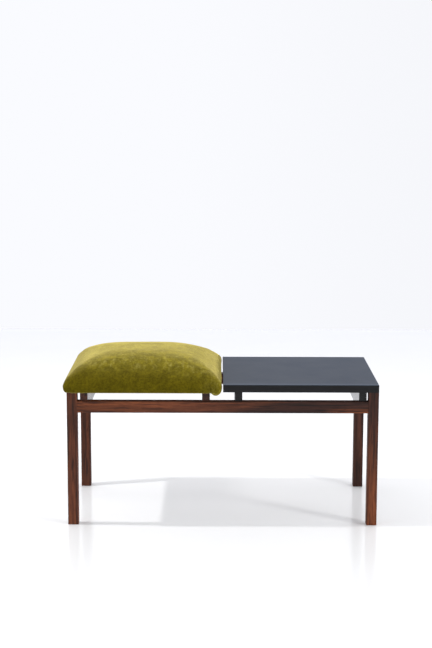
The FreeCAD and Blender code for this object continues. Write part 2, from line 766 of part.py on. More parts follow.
def make_seat():
    staple = make_one_staple()
    cover_staples = make_staples("cover_staples", staple, COVER_STAPLES_PER_SIDE, "cover_staple_inset")
    dust_inset = "(cover_turn_under + dust_staple_room)"
    dust_staples = make_staples("dust_cover_staples", staple, DUST_STAPLES_PER_SIDE, dust_inset)
    board = pierced("seat_board", make_seat_board(), (cover_staples, dust_staples))
    cover = pierced("seat_cover", make_seat_cover(), (cover_staples,))
    dust_cover = pierced("seat_dust_cover", make_dust_cover(), (dust_staples,))
    return [board, make_seat_foam(), make_seat_wadding(), cover, dust_cover, cover_staples, dust_staples]


# Build every sub-part

parts = []
for end, end_name in ((-1, "left"), (1, "right")):
    for side, side_name in ((-1, "front"), (1, "back")):
        parts.append(make_leg(f"leg_{side_name}_{end_name}", end, side))
parts.append(make_rail("front_rail", -1))
parts.append(make_rail("back_rail", 1))
parts.append(make_dowels("rail_dowels"))
for name, x in (SEAT_BEARERS | TABLE_BEARERS).items():
    parts.append(make_bearer(name, x))
parts.append(make_rail_screws("bearer_screws"))
unit_screw = make_one_unit_screw()
parts.append(make_unit_screws("seat_fixing_screws", unit_screw, SEAT_BEARERS))
parts.append(make_unit_screws("table_fixing_screws", unit_screw, TABLE_BEARERS))
parts.extend(make_table())
parts.extend(make_seat())
doc.recompute()

# Check everything before anything is written

for thing in doc.Objects:
    if "Invalid" in thing.State or "Error" in thing.State:
        raise RuntimeError(f"{thing.Label}: {thing.State}")
for part in parts:
    if part.Shape.isNull() or not part.Shape.isValid():
        raise RuntimeError(f"{part.Label}: the shape is missing or not valid")

os.makedirs("parts", exist_ok=True)
for part in parts:
    part.Shape.exportStep(f"parts/{part.Label}.step")
    box = part.Shape.BoundBox
    print(
        f"{part.Label}: {len(part.Shape.Solids)} solid(s), {part.Shape.Volume / 1000:.2f} cm3,",
        f"x {box.XMin:.2f} {box.XMax:.2f}, y {box.YMin:.2f} {box.YMax:.2f}, z {box.ZMin:.2f} {box.ZMax:.2f}",
    )
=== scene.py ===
import math

import bpy
from bpy.props import FloatProperty, FloatVectorProperty, IntProperty, PointerProperty
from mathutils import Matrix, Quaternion, Vector, noise


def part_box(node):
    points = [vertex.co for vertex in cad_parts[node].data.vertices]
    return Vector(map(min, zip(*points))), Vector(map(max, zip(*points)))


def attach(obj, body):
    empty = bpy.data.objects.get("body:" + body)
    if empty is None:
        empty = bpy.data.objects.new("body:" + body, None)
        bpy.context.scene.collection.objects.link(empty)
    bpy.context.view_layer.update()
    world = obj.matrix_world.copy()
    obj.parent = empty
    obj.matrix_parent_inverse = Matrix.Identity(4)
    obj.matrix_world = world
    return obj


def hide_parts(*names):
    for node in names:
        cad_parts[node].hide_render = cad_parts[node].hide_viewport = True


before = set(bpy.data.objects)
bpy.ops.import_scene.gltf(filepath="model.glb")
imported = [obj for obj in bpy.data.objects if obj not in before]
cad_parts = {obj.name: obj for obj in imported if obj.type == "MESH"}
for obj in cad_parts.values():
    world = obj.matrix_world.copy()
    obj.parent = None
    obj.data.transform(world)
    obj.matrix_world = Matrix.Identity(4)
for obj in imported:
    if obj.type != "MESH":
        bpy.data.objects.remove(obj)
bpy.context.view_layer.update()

bl_info = {
    "name": "Telephone bench finish",
    "version": (1, 0, 0),
    "blender": (4, 5, 0),
    "location": "3D View > Sidebar > Bench",
    "description": "Dresses a bench with a velvet seat and a black table on a rosewood frame",
    "category": "Object",
}

BODY = "root"

# Where the seat's layers and the rail lie in the frame
SEAT_LOW, SEAT_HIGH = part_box("seat_cover")
BOARD_LOW, BOARD_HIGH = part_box("seat_board")
DUST_LOW, DUST_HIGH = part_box("seat_dust_cover")
RAIL_LOW, RAIL_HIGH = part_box("front_rail")
LEFT_LEGS = [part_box("leg_front_left"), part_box("leg_back_left")]
BOARD_MIDDLE = (BOARD_LOW + BOARD_HIGH) / 2


# Colours and nodes

def linear(hex_code):
    """An sRGB colour, written as six hex digits, as linear light."""
    channels = [int(hex_code[i:i + 2], 16) / 255 for i in (0, 2, 4)]
    light = [c / 12.92 if c <= 0.04045 else ((c + 0.055) / 1.055) ** 2.4 for c in channels]
    return (*light, 1.0)


def shade(colour, share):
    """The same colour with more or less light."""
    return (*(share * channel for channel in colour[:3]), 1.0)


def grey(level):
    return (level, level, level, 1.0)


def scale_for(spacing):
    """A pattern's scale, in repeats to the metre, from their spacing in millimetres."""
    return 1000.0 / spacing


# The colour Mix node has one pair of sockets for each kind of value, so it is linked by number
FACTOR, FIRST, SECOND, RESULT = 0, 6, 7, 2
MIX = {"data_type": "RGBA"}
MULTIPLY = {"data_type": "RGBA", "blend_type": "MULTIPLY"}
SMOOTH = {"interpolation_type": "SMOOTHSTEP"}


def add_node(tree, kind, settings=None, inputs=None, stops=()):
    """Add a node, set its settings and its ramp's stops, and give its inputs a value or a link."""
    node = tree.nodes.new(kind)
    for name, setting in (settings or {}).items():
        setattr(node, name, setting)
    for name, given in (inputs or {}).items():
        if isinstance(given, bpy.types.NodeSocket):
            tree.links.new(given, node.inputs[name])
        else:
            node.inputs[name].default_value = given
    for _ in stops[2:]:
        node.color_ramp.elements.new(0.5)
    for number, (place, colour) in enumerate(stops):
        node.color_ramp.elements[number].position = place
        node.color_ramp.elements[number].color = colour
    return node


def blank_material(name):
    """A material with nothing in it but the object's own coordinates, in metres."""
    material = bpy.data.materials.new(name)
    material.use_nodes = True
    tree = material.node_tree
    tree.nodes.clear()
    return material, tree, add_node(tree, "ShaderNodeTexCoord").outputs["Object"]


def finish_material(tree, shader_inputs, height=None, strength=0.0, depth=0.0):
    """The surface shader and the output. A height gives a bump of that depth in millimetres."""
    if height is not None:
        bump_inputs = {"Strength": strength, "Distance": depth / 1000.0, "Height": height}
        bump = add_node(tree, "ShaderNodeBump", None, bump_inputs)
        shader_inputs = {**shader_inputs, "Normal": bump.outputs["Normal"]}
    shader = add_node(tree, "ShaderNodeBsdfPrincipled", None, shader_inputs)
    add_node(tree, "ShaderNodeOutputMaterial", None, {"Surface": shader.outputs["BSDF"]})


def darken(tree, colour, patterns):
    """Darken a colour where patterns are low, by rows of pattern, two levels, darkest colour and share."""
    for pattern, low, high, darkest, share in patterns:
        lines = add_node(tree, "ShaderNodeValToRGB", None, {"Fac": pattern}, [
            (low, linear(darkest)), (high, grey(1.0)),
        ]).outputs["Color"]
        colour = add_node(tree, "ShaderNodeMix", MULTIPLY, {
            FACTOR: share, FIRST: colour, SECOND: lines,
        }).outputs[RESULT]
    return colour


# Wood

# A grain pattern is drawn 20 times as long as it is wide
GRAIN_STRETCH = {"x": (0.05, 1.0, 1.0), "y": (1.0, 0.05, 1.0), "z": (1.0, 1.0, 0.05)}
UNMOVED = (0.0, 0.0, 0.0)


def grain_lines(tree, place, grain, spacing, detail, roughness, distortion=0.0, shift=UNMOVED):
    """A pattern drawn out along the grain. spacing is across it, in millimetres."""
    wood = add_node(tree, "ShaderNodeMapping", None, {
        "Vector": place, "Scale": GRAIN_STRETCH[grain], "Location": shift,
    }).outputs["Vector"]
    return add_node(tree, "ShaderNodeTexNoise", None, {
        "Vector": wood, "Scale": scale_for(spacing), "Detail": detail, "Roughness": roughness,
        "Distortion": distortion,
    }).outputs["Fac"]


def rosewood(name, colours, grain, dark_end, red_end, shift, slant=0.0, lacquered=False):
    """Rosewood, oiled and dull, or under a thin satin lacquer.

    Purple-brown wood with near-black veins and red-brown streaks along the
    grain. Each stick has its own colour: dark_end and red_end say, in metres
    along it, where the wood is dark and where it is red. With a slant, the
    two meet in a long slanting figure, as where a board is cut across the rings.
    """
    material, tree, place = blank_material(name)
    # Growth figure, 14 mm from one band to the next
    figure = grain_lines(tree, place, grain, 14.3, detail=3.0, roughness=0.55, distortion=0.5, shift=shift)
    # Near-black veins, 5 mm apart
    veins = grain_lines(tree, place, grain, 5.3, detail=2.0, roughness=0.6, distortion=0.3, shift=shift)
    # Open pores, really 0.2 mm wide and drawn 1 mm wide so that they show
    pores = grain_lines(tree, place, grain, 1.1, detail=1.0, roughness=0.5, shift=shift)
    split = add_node(tree, "ShaderNodeSeparateXYZ", None, {"Vector": place})
    leaning = add_node(tree, "ShaderNodeMath", {"operation": "MULTIPLY"}, {
        0: split.outputs["Z"], 1: -slant,
    })
    along = add_node(tree, "ShaderNodeMath", {"operation": "ADD"}, {
        0: split.outputs["XYZ".index(grain.upper())], 1: leaning.outputs[0],
    })
    way = add_node(tree, "ShaderNodeMapRange", None, {
        "Value": along.outputs[0], "From Min": dark_end, "From Max": red_end,
    }).outputs["Result"]
    if slant:
        way = slanting_figure(tree, way, split)
    dark = add_node(tree, "ShaderNodeValToRGB", None, {"Fac": figure}, [
        (0.34, shade(colours.wood_dark, 0.45)), (0.52, colours.wood_dark),
        (0.68, shade(colours.wood_dark, 1.85)),
    ]).outputs["Color"]
    red = add_node(tree, "ShaderNodeValToRGB", None, {"Fac": figure}, [
        (0.32, shade(colours.wood_red, 0.47)), (0.5, colours.wood_red),
        (0.68, shade(colours.wood_red, 1.57)),
    ]).outputs["Color"]
    colour = add_node(tree, "ShaderNodeMix", MIX, {FACTOR: way, FIRST: dark, SECOND: red}).outputs[RESULT]
    colour = darken(tree, colour, (
        (veins, 0.34, 0.5, "8a8280", 1.0),
        (pores, 0.33, 0.42, "8c8480", 0.6),
    ))
    roughness, reflection = (0.2, 0.3) if lacquered else (0.6, 0.32)
    shine = add_node(tree, "ShaderNodeMapRange", None, {
        "Value": veins, "From Min": 0.3, "From Max": 0.7, "To Min": roughness, "To Max": roughness + 0.08,
    }).outputs["Result"]
    finish_material(tree, {
        "Base Color": colour, "Roughness": shine, "IOR": 1.45, "Specular IOR Level": reflection,
    }, height=pores, strength=0.12, depth=0.4)
    return material


def slanting_figure(tree, way, split):
    """The front rail's figure: red at the left, then a long slant, and a red streak low at the right."""
    way = add_node(tree, "ShaderNodeValToRGB", None, {"Fac": way}, [
        (0.0, grey(0.0)), (0.1, grey(0.35)), (0.45, grey(0.5)), (1.0, grey(1.0)),
    ]).outputs["Color"]
    streak_begins, streak_full = RAIL_HIGH.x - 0.146, RAIL_HIGH.x - 0.056
    streak_top, streak_middle = RAIL_LOW.z + 0.016, RAIL_LOW.z + 0.009
    right = add_node(tree, "ShaderNodeMapRange", SMOOTH, {
        "Value": split.outputs["X"], "From Min": streak_begins, "From Max": streak_full,
    }).outputs["Result"]
    low = add_node(tree, "ShaderNodeMapRange", SMOOTH, {
        "Value": split.outputs["Z"], "From Min": streak_top, "From Max": streak_middle,
    }).outputs["Result"]
    streak = add_node(tree, "ShaderNodeMath", {"operation": "MULTIPLY"}, {0: right, 1: low}).outputs[0]
    return add_node(tree, "ShaderNodeMath", {"operation": "MAXIMUM"}, {0: way, 1: streak}).outputs[0]


def stained_wood(name, colours, grain, roughness=0.5, reflection=0.26):
    """Hardwood stained black under satin lacquer: the grain shows only as a faint relief."""
    material, tree, place = blank_material(name)
    # Grain lines, 3 mm apart
    lines = grain_lines(tree, place, grain, 3.1, detail=3.0, roughness=0.6)
    colour = add_node(tree, "ShaderNodeValToRGB", None, {"Fac": lines}, [
        (0.35, shade(colours.stain, 0.65)), (0.65, shade(colours.stain, 1.4)),
    ]).outputs["Color"]
    finish_material(tree, {
        "Base Color": colour, "Roughness": roughness, "IOR": 1.45, "Specular IOR Level": reflection,
    }, height=lines, strength=0.1, depth=0.4)
    return material


def pale_wood(name, grain, light, dark, ply=0.0):
    """Raw beech, birch plywood or softwood strips. ply is a ply's thickness in metres."""
    material, tree, place = blank_material(name)
    # Growth rings, 8 mm apart
    figure = grain_lines(tree, place, grain, 8.3, detail=4.0, roughness=0.6)
    colour = add_node(tree, "ShaderNodeValToRGB", None, {"Fac": figure}, [
        (0.3, linear(dark)), (0.7, linear(light)),
    ]).outputs["Color"]
    if ply:
        split = add_node(tree, "ShaderNodeSeparateXYZ", None, {"Vector": place})
        plies = add_node(tree, "ShaderNodeMath", {"operation": "PINGPONG"}, {0: split.outputs["Z"], 1: ply})
        share = add_node(tree, "ShaderNodeMath", {"operation": "DIVIDE"}, {0: plies.outputs[0], 1: ply})
        bands = add_node(tree, "ShaderNodeValToRGB", None, {"Fac": share.outputs[0]}, [
            (0.45, linear("b9a184")), (0.55, grey(1.0)),
        ]).outputs["Color"]
        colour = add_node(tree, "ShaderNodeMix", MULTIPLY, {
            FACTOR: 1.0, FIRST: colour, SECOND: bands,
        }).outputs[RESULT]
    wood_inputs = {"Base Color": colour, "Roughness": 0.7, "IOR": 1.5}
    finish_material(tree, wood_inputs, height=figure, strength=0.2, depth=0.4)
    return material


# Tabletop sheets

def black_laminate(colours):
    """Black plastic laminate with a fine satin press finish: dull, faintly blue in flat light."""
    material, tree, place = blank_material("black_laminate_satin")
    # The press plate's grain, really 0.3 mm and drawn 1.5 mm so that it shows
    grain = add_node(tree, "ShaderNodeTexNoise", None, {
        "Vector": place, "Scale": scale_for(1.5), "Detail": 2.0, "Roughness": 0.5,
    }).outputs["Fac"]
    # Rubbed patches from use, a hand's width across
    rubbed = add_node(tree, "ShaderNodeTexNoise", None, {
        "Vector": place, "Scale": scale_for(110.0), "Detail": 3.0, "Roughness": 0.55,
    }).outputs["Fac"]
    colour = add_node(tree, "ShaderNodeValToRGB", None, {"Fac": rubbed}, [
        (0.3, shade(colours.laminate, 0.87)), (0.7, shade(colours.laminate, 1.15)),
    ]).outputs["Color"]
    shine = add_node(tree, "ShaderNodeMapRange", None, {
        "Value": rubbed, "From Min": 0.3, "From Max": 0.7, "To Min": 0.54, "To Max": 0.6,
    }).outputs["Result"]
    # Painted highlight: the top is painted paler along its front edge, 35 mm deep, where it catches the
    # light
    front_highlight_width = 0.035
    split = add_node(tree, "ShaderNodeSeparateXYZ", None, {"Vector": place})
    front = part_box("tabletop_laminate")[0].y
    front_highlight = add_node(tree, "ShaderNodeMapRange", SMOOTH, {
        "Value": split.outputs["Y"], "From Min": front + front_highlight_width, "From Max": front,
    }).outputs["Result"]
    colour = add_node(tree, "ShaderNodeMix", MIX, {
        FACTOR: front_highlight, FIRST: colour, SECOND: shade(colours.laminate, 3.5),
    }).outputs[RESULT]
    # The fine matt finish veils the black in blue-grey at a glance
    finish_material(tree, {
        "Base Color": colour, "Roughness": shine, "IOR": 1.45, "Specular IOR Level": 0.36,
        "Sheen Weight": 0.13, "Sheen Roughness": 0.35, "Sheen Tint": linear("86a8e0"),
    }, height=grain, strength=0.05, depth=0.2)
    return material


def backing_sheet():
    """Brown phenolic paper under the table: plain, with a faint fibre mottle 4 mm across."""
    material, tree, place = blank_material("brown_backing_sheet")
    fibres = add_node(tree, "ShaderNodeTexNoise", None, {
        "Vector": place, "Scale": scale_for(3.8), "Detail": 4.0, "Roughness": 0.65,
    }).outputs["Fac"]
    colour = add_node(tree, "ShaderNodeValToRGB", None, {"Fac": fibres}, [
        (0.3, linear("4a3728")), (0.7, linear("5a4433")),
    ]).outputs["Color"]
    paper_inputs = {"Base Color": colour, "Roughness": 0.55}
    finish_material(tree, paper_inputs, height=fibres, strength=0.08, depth=0.3)
    return material


# Metal

def plated_steel(name, tint, roughness):
    """Zinc-plated or galvanised steel: grey metal with a soft spangle 1 mm across."""
    material, tree, place = blank_material(name)
    spangle = add_node(tree, "ShaderNodeTexVoronoi", None, {
        "Vector": place, "Scale": scale_for(1.1),
    }).outputs["Distance"]
    shine = add_node(tree, "ShaderNodeMapRange", None, {
        "Value": spangle, "To Min": roughness, "To Max": roughness + 0.15,
    }).outputs["Result"]
    finish_material(tree, {
        "Base Color": linear(tint), "Metallic": 1.0, "Roughness": shine,
    }, height=spangle, strength=0.1, depth=0.1)
    return material


# Cloth

def velvet(colours, hang):
    """Cotton upholstery velvet: short pile that looks dark end on and pale at a glance.

    The sheen gives the pale rim and the pale top. The top is also painted lighter
    than the sides, and pale highlights are painted on its shoulder and along its
    lower edge. The pile has been stroked this way and that, which leaves soft
    lighter and darker patches. hang is how far the lower edge hangs below the seat, in metres.
    """
    material, tree, place = blank_material("olive_cotton_velvet")
    split = add_node(tree, "ShaderNodeSeparateXYZ", None, {"Vector": place})
    # Patches where the pile lies over, 30 mm across
    patches = add_node(tree, "ShaderNodeTexNoise", None, {
        "Vector": place, "Scale": scale_for(29.4), "Detail": 4.0, "Roughness": 0.6,
    }).outputs["Fac"]
    # Rumples in the pile, 7 mm across
    rumples = add_node(tree, "ShaderNodeTexNoise", None, {
        "Vector": place, "Scale": scale_for(6.7), "Detail": 3.0, "Roughness": 0.65,
    }).outputs["Fac"]
    # Tufts of pile, really 0.5 mm across and drawn 2 mm across so that they show
    tufts = add_node(tree, "ShaderNodeTexNoise", None, {
        "Vector": place, "Scale": scale_for(2.2), "Detail": 2.0, "Roughness": 0.6,
    }).outputs["Fac"]
    # Painted light and shade: the top is painted in a lighter copy of the velvet than the sides, for the
    # light from above, and the sides are plainer
    height = painted_light_share(tree, split)
    side = add_node(tree, "ShaderNodeValToRGB", None, {"Fac": patches}, [
        (0.34, shade(colours.velvet_shaded_side, 0.85)), (0.5, colours.velvet_shaded_side),
        (0.66, shade(colours.velvet_shaded_side, 1.2)),
    ]).outputs["Color"]
    top = add_node(tree, "ShaderNodeValToRGB", None, {"Fac": patches}, [
        (0.36, shade(colours.velvet_lit_top, 0.72)), (0.5, shade(colours.velvet_lit_top, 0.95)),
        (0.62, shade(colours.velvet_lit_top, 1.3)),
    ]).outputs["Color"]
    colour = add_node(tree, "ShaderNodeMix", MIX, {
        FACTOR: height, FIRST: side, SECOND: top,
    }).outputs[RESULT]
    # The pale colour of the painted highlights below
    pale = linear("b5a957")
    colour = add_node(tree, "ShaderNodeMix", MIX, {
        FACTOR: pile_bruises_and_highlights(tree, place, height), FIRST: colour, SECOND: pale,
    }).outputs[RESULT]
    # Painted highlight: the lowest 5 mm of the velvet is painted paler towards the edge, where the pile
    # that stands out there catches the light
    edge_highlight_width = 0.005
    lowest = SEAT_LOW.z - hang
    edge = add_node(tree, "ShaderNodeMapRange", None, {
        "Value": split.outputs["Z"], "From Min": lowest + edge_highlight_width, "From Max": lowest, "To Max": 0.5,
    }).outputs["Result"]
    colour = add_node(tree, "ShaderNodeMix", MIX, {
        FACTOR: edge, FIRST: colour, SECOND: pale,
    }).outputs[RESULT]
    # Partly painted shade: the rumples, which the bump also raises, are painted darker in their dips as
    # well as varying the pile's tone; the tufts vary its tone
    colour = darken(tree, colour, (
        (rumples, 0.36, 0.62, "c2bb9f", 0.7),
        (tufts, 0.3, 0.6, "c4bfae", 0.6),
    ))
    finish_material(tree, {
        "Base Color": colour, "Roughness": 0.85, "Specular IOR Level": 0.05,
        "Sheen Weight": 0.8, "Sheen Roughness": 0.3, "Sheen Tint": colours.velvet_sheen,
    }, height=rumples, strength=0.6, depth=1.0)
    return material


def painted_light_share(tree, split):
    """Where the velvet is painted lit: 0 on the sides and 1 on the top. This painted light is raised
    towards the right end as painted highlight, and lowered towards the left end as painted shade.
    """
    level = split.outputs["Z"]
    # Painted highlight towards the right end and painted shade towards the left end
    for begins, full, shift in (
        (SEAT_HIGH.x - 0.23, SEAT_HIGH.x - 0.06, 0.016),
        (SEAT_LOW.x + 0.11, SEAT_LOW.x + 0.02, -0.014),
    ):
        brushed = add_node(tree, "ShaderNodeMapRange", SMOOTH, {
            "Value": split.outputs["X"], "From Min": begins, "From Max": full, "To Max": shift,
        }).outputs["Result"]
        level = add_node(tree, "ShaderNodeMath", {"operation": "ADD"}, {0: level, 1: brushed}).outputs[0]
    sides_end, top_begins = SEAT_LOW.z + 0.035, SEAT_HIGH.z - 0.006
    height = add_node(tree, "ShaderNodeMapRange", SMOOTH, {
        "Value": level, "From Min": sides_end, "From Max": top_begins,
    }).outputs["Result"]
    # Painted light: at the right end the sides are also painted most of the way to the top's light
    begins, full = SEAT_HIGH.x - 0.085, SEAT_HIGH.x - 0.02
    corner = add_node(tree, "ShaderNodeMapRange", SMOOTH, {
        "Value": split.outputs["X"], "From Min": begins, "From Max": full, "To Max": 0.68,
    }).outputs["Result"]
    return add_node(tree, "ShaderNodeMath", {"operation": "MAXIMUM"}, {0: height, 1: corner}).outputs[0]


def pile_bruises_and_highlights(tree, place, height):
    """Small pale streaks of bruised pile, 12 mm apart, painted as highlights where the sides turn into the
    top and catch the light.
    """
    streaks = add_node(tree, "ShaderNodeMapping", None, {
        "Vector": place, "Scale": (1.0, 0.5, 0.5), "Location": (0.2, 0.1, 0.0),
    }).outputs["Vector"]
    streaks = add_node(tree, "ShaderNodeTexNoise", None, {
        "Vector": streaks, "Scale": scale_for(11.8), "Detail": 4.0, "Roughness": 0.65,
    }).outputs["Fac"]
    bruises = add_node(tree, "ShaderNodeMapRange", None, {
        "Value": streaks, "From Min": 0.48, "From Max": 0.68,
    }).outputs["Result"]
    # Painted highlight: the streaks are painted only on the lit shoulder
    lit_shoulder = add_node(tree, "ShaderNodeValToRGB", None, {"Fac": height}, [
        (0.3, grey(0.0)), (0.65, grey(0.28)), (0.9, grey(0.5)), (1.0, grey(0.3)),
    ]).outputs["Color"]
    return add_node(tree, "ShaderNodeMath", {"operation": "MULTIPLY"}, {0: bruises, 1: lit_shoulder}).outputs[0]


def soft_filling(name, light, dark, spacing):
    """Foam or wadding: matt and pale. spacing is between its cells or tufts, in millimetres."""
    material, tree, place = blank_material(name)
    cells = add_node(tree, "ShaderNodeTexNoise", None, {
        "Vector": place, "Scale": scale_for(spacing), "Detail": 3.0, "Roughness": 0.6,
    }).outputs["Fac"]
    colour = add_node(tree, "ShaderNodeValToRGB", None, {"Fac": cells}, [
        (0.35, linear(dark)), (0.65, linear(light)),
    ]).outputs["Color"]
    filling_inputs = {"Base Color": colour, "Roughness": 0.95}
    finish_material(tree, filling_inputs, height=cells, strength=0.5, depth=0.8)
    return material


def black_cloth():
    """Black plain-woven cotton under a seat: dull, its 0.4 mm weave drawn at 1.2 mm so that it shows."""
    material, tree, place = blank_material("black_dust_cloth")
    thread_spacing = 1.2
    # A wave texture goes through 20 radians in each unit
    waves_per_unit = 20 / (2 * math.pi)
    warp, weft = [
        add_node(tree, "ShaderNodeTexWave", {"bands_direction": direction}, {
            "Vector": place, "Scale": scale_for(thread_spacing) / waves_per_unit, "Distortion": 0.4,
        }).outputs["Fac"]
        for direction in ("X", "Y")
    ]
    weave = add_node(tree, "ShaderNodeMath", {"operation": "MULTIPLY"}, {0: warp, 1: weft}).outputs[0]
    colour = add_node(tree, "ShaderNodeValToRGB", None, {"Fac": weave}, [
        (0.1, linear("0d0d0e")), (0.9, linear("26262a")),
    ]).outputs["Color"]
    cloth_inputs = {"Base Color": colour, "Roughness": 0.9}
    finish_material(tree, cloth_inputs, height=weave, strength=0.4, depth=0.4)
    return material


# Sizes and colours that a user may change

def colour_setting(name, description, hex_code):
    return FloatVectorProperty(
        name=name, description=description, default=linear(hex_code),
        size=4, min=0.0, max=1.0, subtype="COLOR",
    )


def length_setting(name, description, metres):
    return FloatProperty(name=name, description=description, default=metres, unit="LENGTH")


class FinishSettings(bpy.types.PropertyGroup):
    # Velvet side and Velvet top are one velvet in painted shade and painted light: the top's colour is
    # painted lighter than the sides'
    velvet_shaded_side: colour_setting(
        "Velvet side", "Colour of the velvet where its pile is brushed down", "60560a",
    )
    velvet_lit_top: colour_setting("Velvet top", "Colour of the velvet on top of the seat", "7f741f")
    velvet_sheen: colour_setting(
        "Velvet sheen", "Colour of the light that the pile throws back at a glance", "ffeb8c",
    )
    wood_dark: colour_setting("Dark wood", "Colour of the rosewood's purple-brown parts", "3a1f16")
    wood_red: colour_setting("Red wood", "Colour of the rosewood's red-brown parts", "713c20")
    stain: colour_setting("Stain", "Colour of the table's bearers and edge strips", "131315")
    laminate: colour_setting("Laminate", "Colour of the tabletop", "141920")


class SeatSettings(bpy.types.PropertyGroup):
    voxel: FloatProperty(
        name="Voxel", description="Spacing of the velvet's mesh before it is smoothed",
        default=0.006, min=0.003, max=0.02, unit="LENGTH",
    )
    pressure: FloatProperty(
        name="Pressure", description="How hard the padding pushes the velvet out", default=4.0,
    )
    frames: IntProperty(name="Frames", description="How long the velvet is left to settle", default=20)
    give: length_setting(
        "Give", "How far the velvet starts inside its form, and how far it may move", 0.004,
    )
    wadding_depth: length_setting(
        "Wadding depth", "How far the wadding's outer face lies under the velvet", 0.0065,
    )
    foam_depth: length_setting(
        "Foam depth", "How far the foam's outer face lies under the velvet", 0.0115,
    )
    undulation: length_setting("Undulation", "Height of the soft unevenness of the stuffing", 0.001)
    right_sink: length_setting("Right sink", "How much lower the crown lies towards its right end", 0.003)
    edge_hang: length_setting(
        "Edge hang", "How far the velvet's rolled lower edge hangs below the board", 0.005,
    )
    edge_roll: length_setting(
        "Edge roll", "How far the lower edge rolls outwards at the front and the back", 0.0035,
    )
    corner_droop: length_setting("Corner droop", "How much further the front right corner hangs", 0.007)
    crease_depth: length_setting("Crease depth", "Depth of the front right corner's fold", 0.0046)
    turned_under: length_setting(
        "Turned under", "Width of the velvet that is turned under the board", 0.020,
    )
    velvet_thickness: length_setting("Velvet thickness", "Thickness of the velvet with its pile", 0.0015)
    dust_sag: length_setting("Dust cover sag", "How far the dust cover hangs between its staples", 0.003)


class StageSettings(bpy.types.PropertyGroup):
    eye: FloatVectorProperty(
        name="Eye", description="Where the camera stands", size=3,
        default=(-0.01061, -4.31599, 1.25142), unit="LENGTH",
    )
    lens: FloatProperty(
        name="Lens", description="Focal length in millimetres on a 36 mm sensor", default=80.66,
    )
    yaw: FloatProperty(name="Yaw", description="Turn to the right", default=-0.000863, subtype="ANGLE")
    pitch: FloatProperty(name="Pitch", description="Tilt down", default=0.159185, subtype="ANGLE")
    roll: FloatProperty(
        name="Roll", description="Turn about the line of sight",
        default=0.002686, subtype="ANGLE",
    )
    wall: length_setting("Wall", "Where the backdrop stands, along Y", 3.31)
    floor_reach: length_setting("Floor reach", "How far the floor goes to the sides and the front", 8.0)
    wall_height: length_setting("Wall height", "Height of the backdrop", 6.0)
    top_light: FloatProperty(
        name="Top light", description="Strength of the soft light overhead", default=0.5,
    )
    side_light: FloatProperty(
        name="Side light", description="Strength of the soft light at the sides", default=2.3,
    )
    front_light: FloatProperty(
        name="Front light", description="Strength of the soft light in front", default=0.7,
    )
    wall_light: FloatProperty(
        name="Wall light", description="How strongly the wall lights the room", default=1.75,
    )
    left_power: FloatProperty(
        name="Left lamp", description="Power of the left lamp", default=33.0, unit="POWER",
    )
    right_power: FloatProperty(
        name="Right lamp", description="Power of the right lamp", default=30.0, unit="POWER",
    )


# Modelling helpers

def only(thing):
    """Select this object alone and make it the active one."""
    bpy.ops.object.select_all(action="DESELECT")
    thing.select_set(True)
    bpy.context.view_layer.objects.active = thing


def apply_modifier(piece, kind, **settings):
    """Add a modifier to this object, set it and apply it."""
    only(piece)
    bpy.ops.object.modifier_add(type=kind)
    modifier = piece.modifiers[-1]
    for name, setting in settings.items():
        setattr(modifier, name, setting)
    bpy.ops.object.modifier_apply(modifier=modifier.name)


def edit(operator, **options):
    """Run this mesh operator in edit mode, on the active object."""
    bpy.ops.object.mode_set(mode="EDIT")
    operator(**options)
    bpy.ops.object.mode_set(mode="OBJECT")


def copy_of(mesh, name):
    """A new object in the scene, with its own copy of this mesh."""
    piece = bpy.data.objects.new(name, mesh.copy())
    bpy.context.scene.collection.objects.link(piece)
    return piece


def ride_and_slot(piece, node_name):
    """Let a piece ride on the bench in place of the frame's piece."""
    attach(piece, BODY)
    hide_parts(node_name)


def dress(node_name, material):
    """Give a piece of the frame its material."""
    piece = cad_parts[node_name]
    piece.data.materials.clear()
    piece.data.materials.append(material)


def outward_directions(mesh):
    """Each vertex's normal, as the mesh stands now."""
    mesh.update()
    return [v.normal.copy() for v in mesh.vertices]


def smooth_step(low, high, x):
    """0 up to low and 1 from high, with a smooth rise between them."""
    t = min(1.0, max(0.0, (x - low) / (high - low)))
    return t * t * (3 - 2 * t)


def inside_board(x, y):
    """How far a point lies in from the seat board's nearest edge. It is negative outside."""
    return min(x - BOARD_LOW.x, BOARD_HIGH.x - x, y - BOARD_LOW.y, BOARD_HIGH.y - y)


def free_share(z):
    """0 at the board's underside, which holds the velvet, and 1 from 10 mm above the board."""
    return smooth_step(BOARD_LOW.z, BOARD_HIGH.z + 0.01, z)


# Operators, one for each piece or group of pieces

